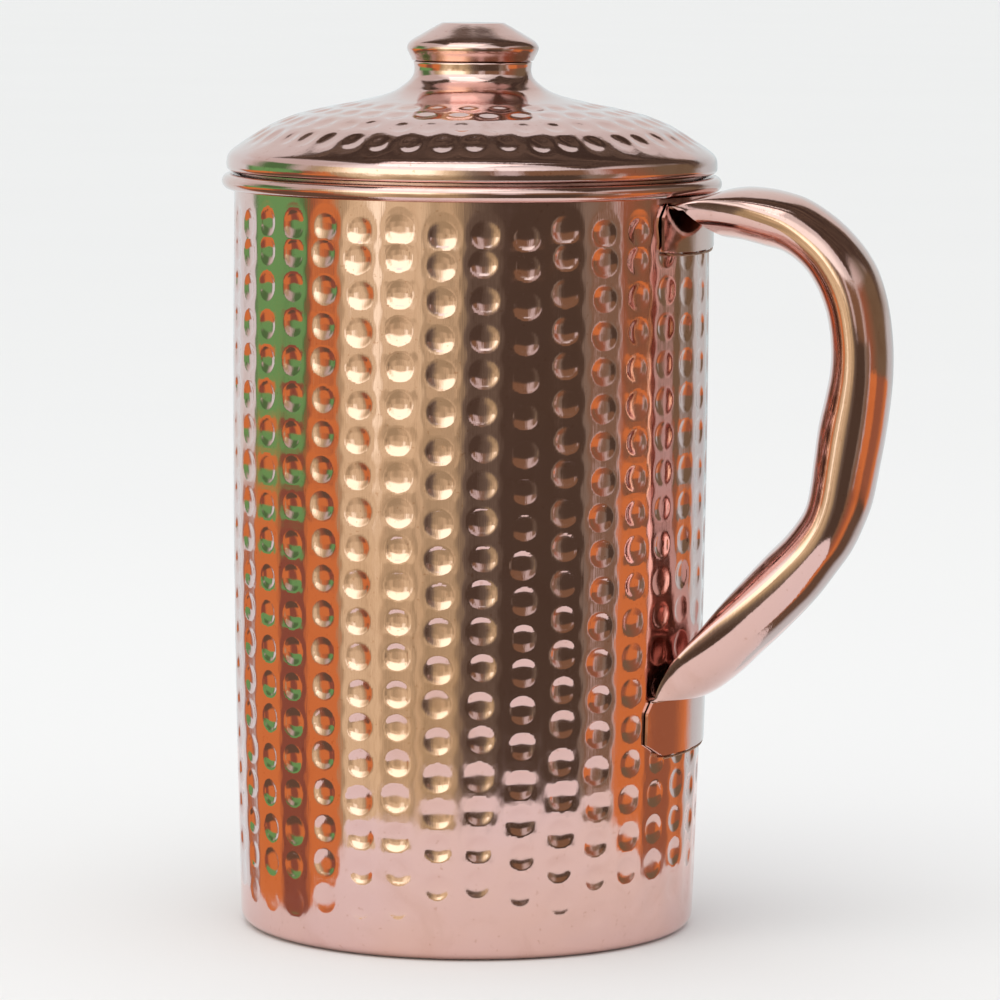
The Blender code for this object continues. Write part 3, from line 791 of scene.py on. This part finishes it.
# each tier of the room: the heights between which it takes over, in degrees, and its colours from the
# back round by the left, the camera and the right to the back again
roomTiers = (
    (None, (
        (-180, "paleEdge"), (-143, "paleEdge"), (-137, "woodDark"), (-124, "shade"), (-84, "shade"),
        (-70, "woodDark"), (-62, "goldDeep"), (-50, "goldLow"), (-36, "goldDeep"), (-8, "goldDeep"),
        (2, "darkGrey"), (16, "dark"), (52, "dark"), (60, "brown"), (76, "woodDark"), (94, "wood"),
        (104, "shade"), (128, "shade"), (140, "paleRight"), (180, "paleEdge"))),
    ((-20.0, -16.5), (
        (-180, "paleEdge"), (-142, "paleEdge"), (-137, "woodDark"), (-131, "wood"), (-109, "wood"),
        (-102, "maroon"), (-90, "maroon"), (-85, "wood"), (-70, "wood"), (-64, "goldDeep"),
        (-58, "goldLow"), (-54, "gold"), (-50, "goldLow"), (-45, "gold"), (-40, "goldLow"),
        (-30, "goldDeep"), (-24, "goldLow"), (-11, "goldDeep"), (0, "darkGrey"), (14, "dark"), (52, "dark"),
        (57, "greyBrown"), (68, "brown"), (73, "pale"), (76, "wood"), (96, "wood"), (100, "woodDark"),
        (116, "woodDark"), (120, "woodDark"), (132, "wood"), (140, "paleRight"), (180, "paleEdge"))),
    ((-6.7, -6.2), (
        (-180, "paleEdge"), (-132, "paleEdge"), (-128, "leafDark"), (-124, "leaf"), (-94, "leaf"),
        (-88, "leafDark"), (-83, "woodDark"), (-72, "wood"), (-66, "goldDeep"), (-60, "goldLow"),
        (-56, "gold"), (-52, "goldLow"), (-49, "glint"), (-44, "glint"), (-41, "goldLow"), (-35, "gold"),
        (-30, "goldLow"), (-24, "gold"), (-17, "goldDeep"), (-12, "goldLow"), (-7, "goldDeep"),
        (1, "darkGrey"), (14, "dark"), (50, "dark"), (56, "greyBrown"), (70, "brown"), (74, "pale"),
        (77, "woodDark"), (94, "brown"), (103, "olive"), (126, "olive"), (136, "paleRight"))),
    ((0.0, 4.0), (
        (-180, "paleEdge"), (-140, "paleEdge"), (-126, "pale"), (-114, "leafDark"), (-98, "leafDark"),
        (-88, "pale"), (-78, "goldDeep"), (-68, "gold"), (-54, "bright"), (-20, "bright"), (-10, "gold"),
        (0, "greyBrown"), (9, "brown"), (13, "pale"), (20, "pale"), (25, "brown"), (54, "brown"),
        (60, "pale"), (70, "woodDark"), (100, "olive"), (130, "olive"), (145, "paleRight"),
        (180, "paleEdge"))),
    ((19.0, 25.0), (
        (-180, "soft"), (-120, "pale"), (-80, "pale"), (-55, "window"), (20, "window"), (45, "soft"),
        (80, "pale"), (110, "darkGrey"), (140, "pale"), (180, "soft"))),
    ((46.0, 56.0), (
        (-180, "soft"), (180, "soft"))),
)


def makeRoom():
    # the soft room that the copper mirrors: pale behind, warm window left of the camera, dark to the right
    world = bpy.data.worlds.new("softRoom")
    scene.world = world
    world.use_nodes = True
    tree = world.node_tree
    shade = Shade(tree)
    background = tree.nodes["Background"]
    where = shade.node("ShaderNodeTexCoord", output=0)
    turned = shade.node("ShaderNodeVectorRotate", {"rotation_type": "Z_AXIS"},
                        {"Vector": where, "Angle": -math.radians(view["azimuth"])})
    x, y, z = (shade.node("ShaderNodeSeparateXYZ", None, {0: turned}, output=axis) for axis in range(3))
    around = x.math("ARCTAN2", y * -1.0) / math.tau + 0.5
    light = None
    for edge, bands in roomTiers:
        stops = [((degrees + 180.0) / 360.0, room[name]) for degrees, name in bands]
        tier = shade.node("ShaderNodeValToRGB", {"ease": "LINEAR", "stops": stops}, {"Fac": around})
        if edge is None:
            light = tier
        else:
            low, high = (math.sin(math.radians(degrees)) for degrees in edge)
            light = shade.mix(z.ramp01(low, high), light, tier)
    # a dark roof overhead with one pale strip of light in it
    wobble = (shade.noise(turned, 2.6, 3.0, 0.6) - 0.5) * 0.05
    over = z.math("ARCTAN2", y * -1.0) / math.pi + wobble
    across = x.math("ABSOLUTE") + wobble
    right = x.math("MAXIMUM", 0.3) - 0.3
    farEdge = (over - across * 0.18 - right * 0.35).ramp01(0.655, 0.668)
    nearEdge = (over + right * 0.45).ramp01(0.44, 0.455)
    sides = (1 - x.ramp01(0.74, 0.82)) * (1 - (x * -1.0).ramp01(0.52, 0.60))
    roof = nearEdge * (1 - farEdge) * sides * z.ramp01(0.0, 0.1)
    beams = shade.noise(shade.stretch(turned, (3.0, 22.0, 3.0)), 1.0, 4.0, 0.6).ramp01(0.42, 0.75)
    ceiling = shade.mix(beams, room["roof"], room["beam"])
    strip = over.ramp01(0.503, 0.508) * (1 - over.ramp01(0.516, 0.522)) * (1 - across.ramp01(0.22, 0.40))
    ceiling = shade.mix(strip, ceiling, room["strip"])
    light = shade.mix(roof, light, ceiling)
    for ray, grey in (("Is Diffuse Ray", 1.03), ("Is Camera Ray", 0.90)):
        light = shade.mix(shade.node("ShaderNodeLightPath", output=ray), light, (grey, grey, grey))
    plug(tree, background.inputs["Color"], light)
    background.inputs["Strength"].default_value = 1.0


def areaLight(name, degrees, elevation, distance, size, power, colour):
    # degrees run from the camera's side round to the right
    angle = math.radians(view["azimuth"] + degrees)
    up = math.radians(elevation)
    light = bpy.data.lights.new(name, "AREA")
    light.shape = "RECTANGLE"
    light.size, light.size_y = size
    light.energy = power
    light.color = colour
    lamp = bpy.data.objects.new(name, light)
    middle = Vector((0.0, 0.0, 0.11))
    out = Vector((math.sin(angle) * math.cos(up), -math.cos(angle) * math.cos(up), math.sin(up)))
    lamp.location = middle + out * distance
    lamp.rotation_euler = out.to_track_quat("Z", "Y").to_euler()
    lamp.visible_camera = False
    scene.collection.objects.link(lamp)
    return lamp


def makeCamera():
    spin = Matrix.Rotation(math.radians(view["azimuth"]), 3, "Z")
    cosTilt, sinTilt = math.cos(view["tilt"]), math.sin(view["tilt"])
    ahead = spin @ Vector((math.sin(view["pan"]) * cosTilt, math.cos(view["pan"]) * cosTilt, -sinTilt))
    right = ahead.cross(Vector((0.0, 0.0, 1.0))).normalized()
    up = right.cross(ahead)
    cosRoll, sinRoll = math.cos(view["roll"]), math.sin(view["roll"])
    rightRolled = right * cosRoll + up * sinRoll
    upRolled = up * cosRoll - right * sinRoll
    turn = Matrix((rightRolled, upRolled, -ahead)).transposed().to_4x4()
    place = spin @ Vector((0.0, -view["distance"], view["height"]))
    data = bpy.data.cameras.new("frontCamera")
    data.sensor_width = 36.0
    data.lens = 36.0 * view["focal"]
    data.clip_start = 0.01
    camera = bpy.data.objects.new("frontCamera", data)
    camera.matrix_world = Matrix.Translation(place) @ turn
    scene.collection.objects.link(camera)
    scene.camera = camera


makeFloor()
makeRoom()
areaLight("softTop", -25.0, 68.0, 1.4, (1.0, 1.0), 3.0, (1.0, 0.98, 0.95))
makeCamera()
scene.view_settings.view_transform = "Standard"
scene.view_settings.look = "None"
print("stage set")

bpy.context.view_layer.update()
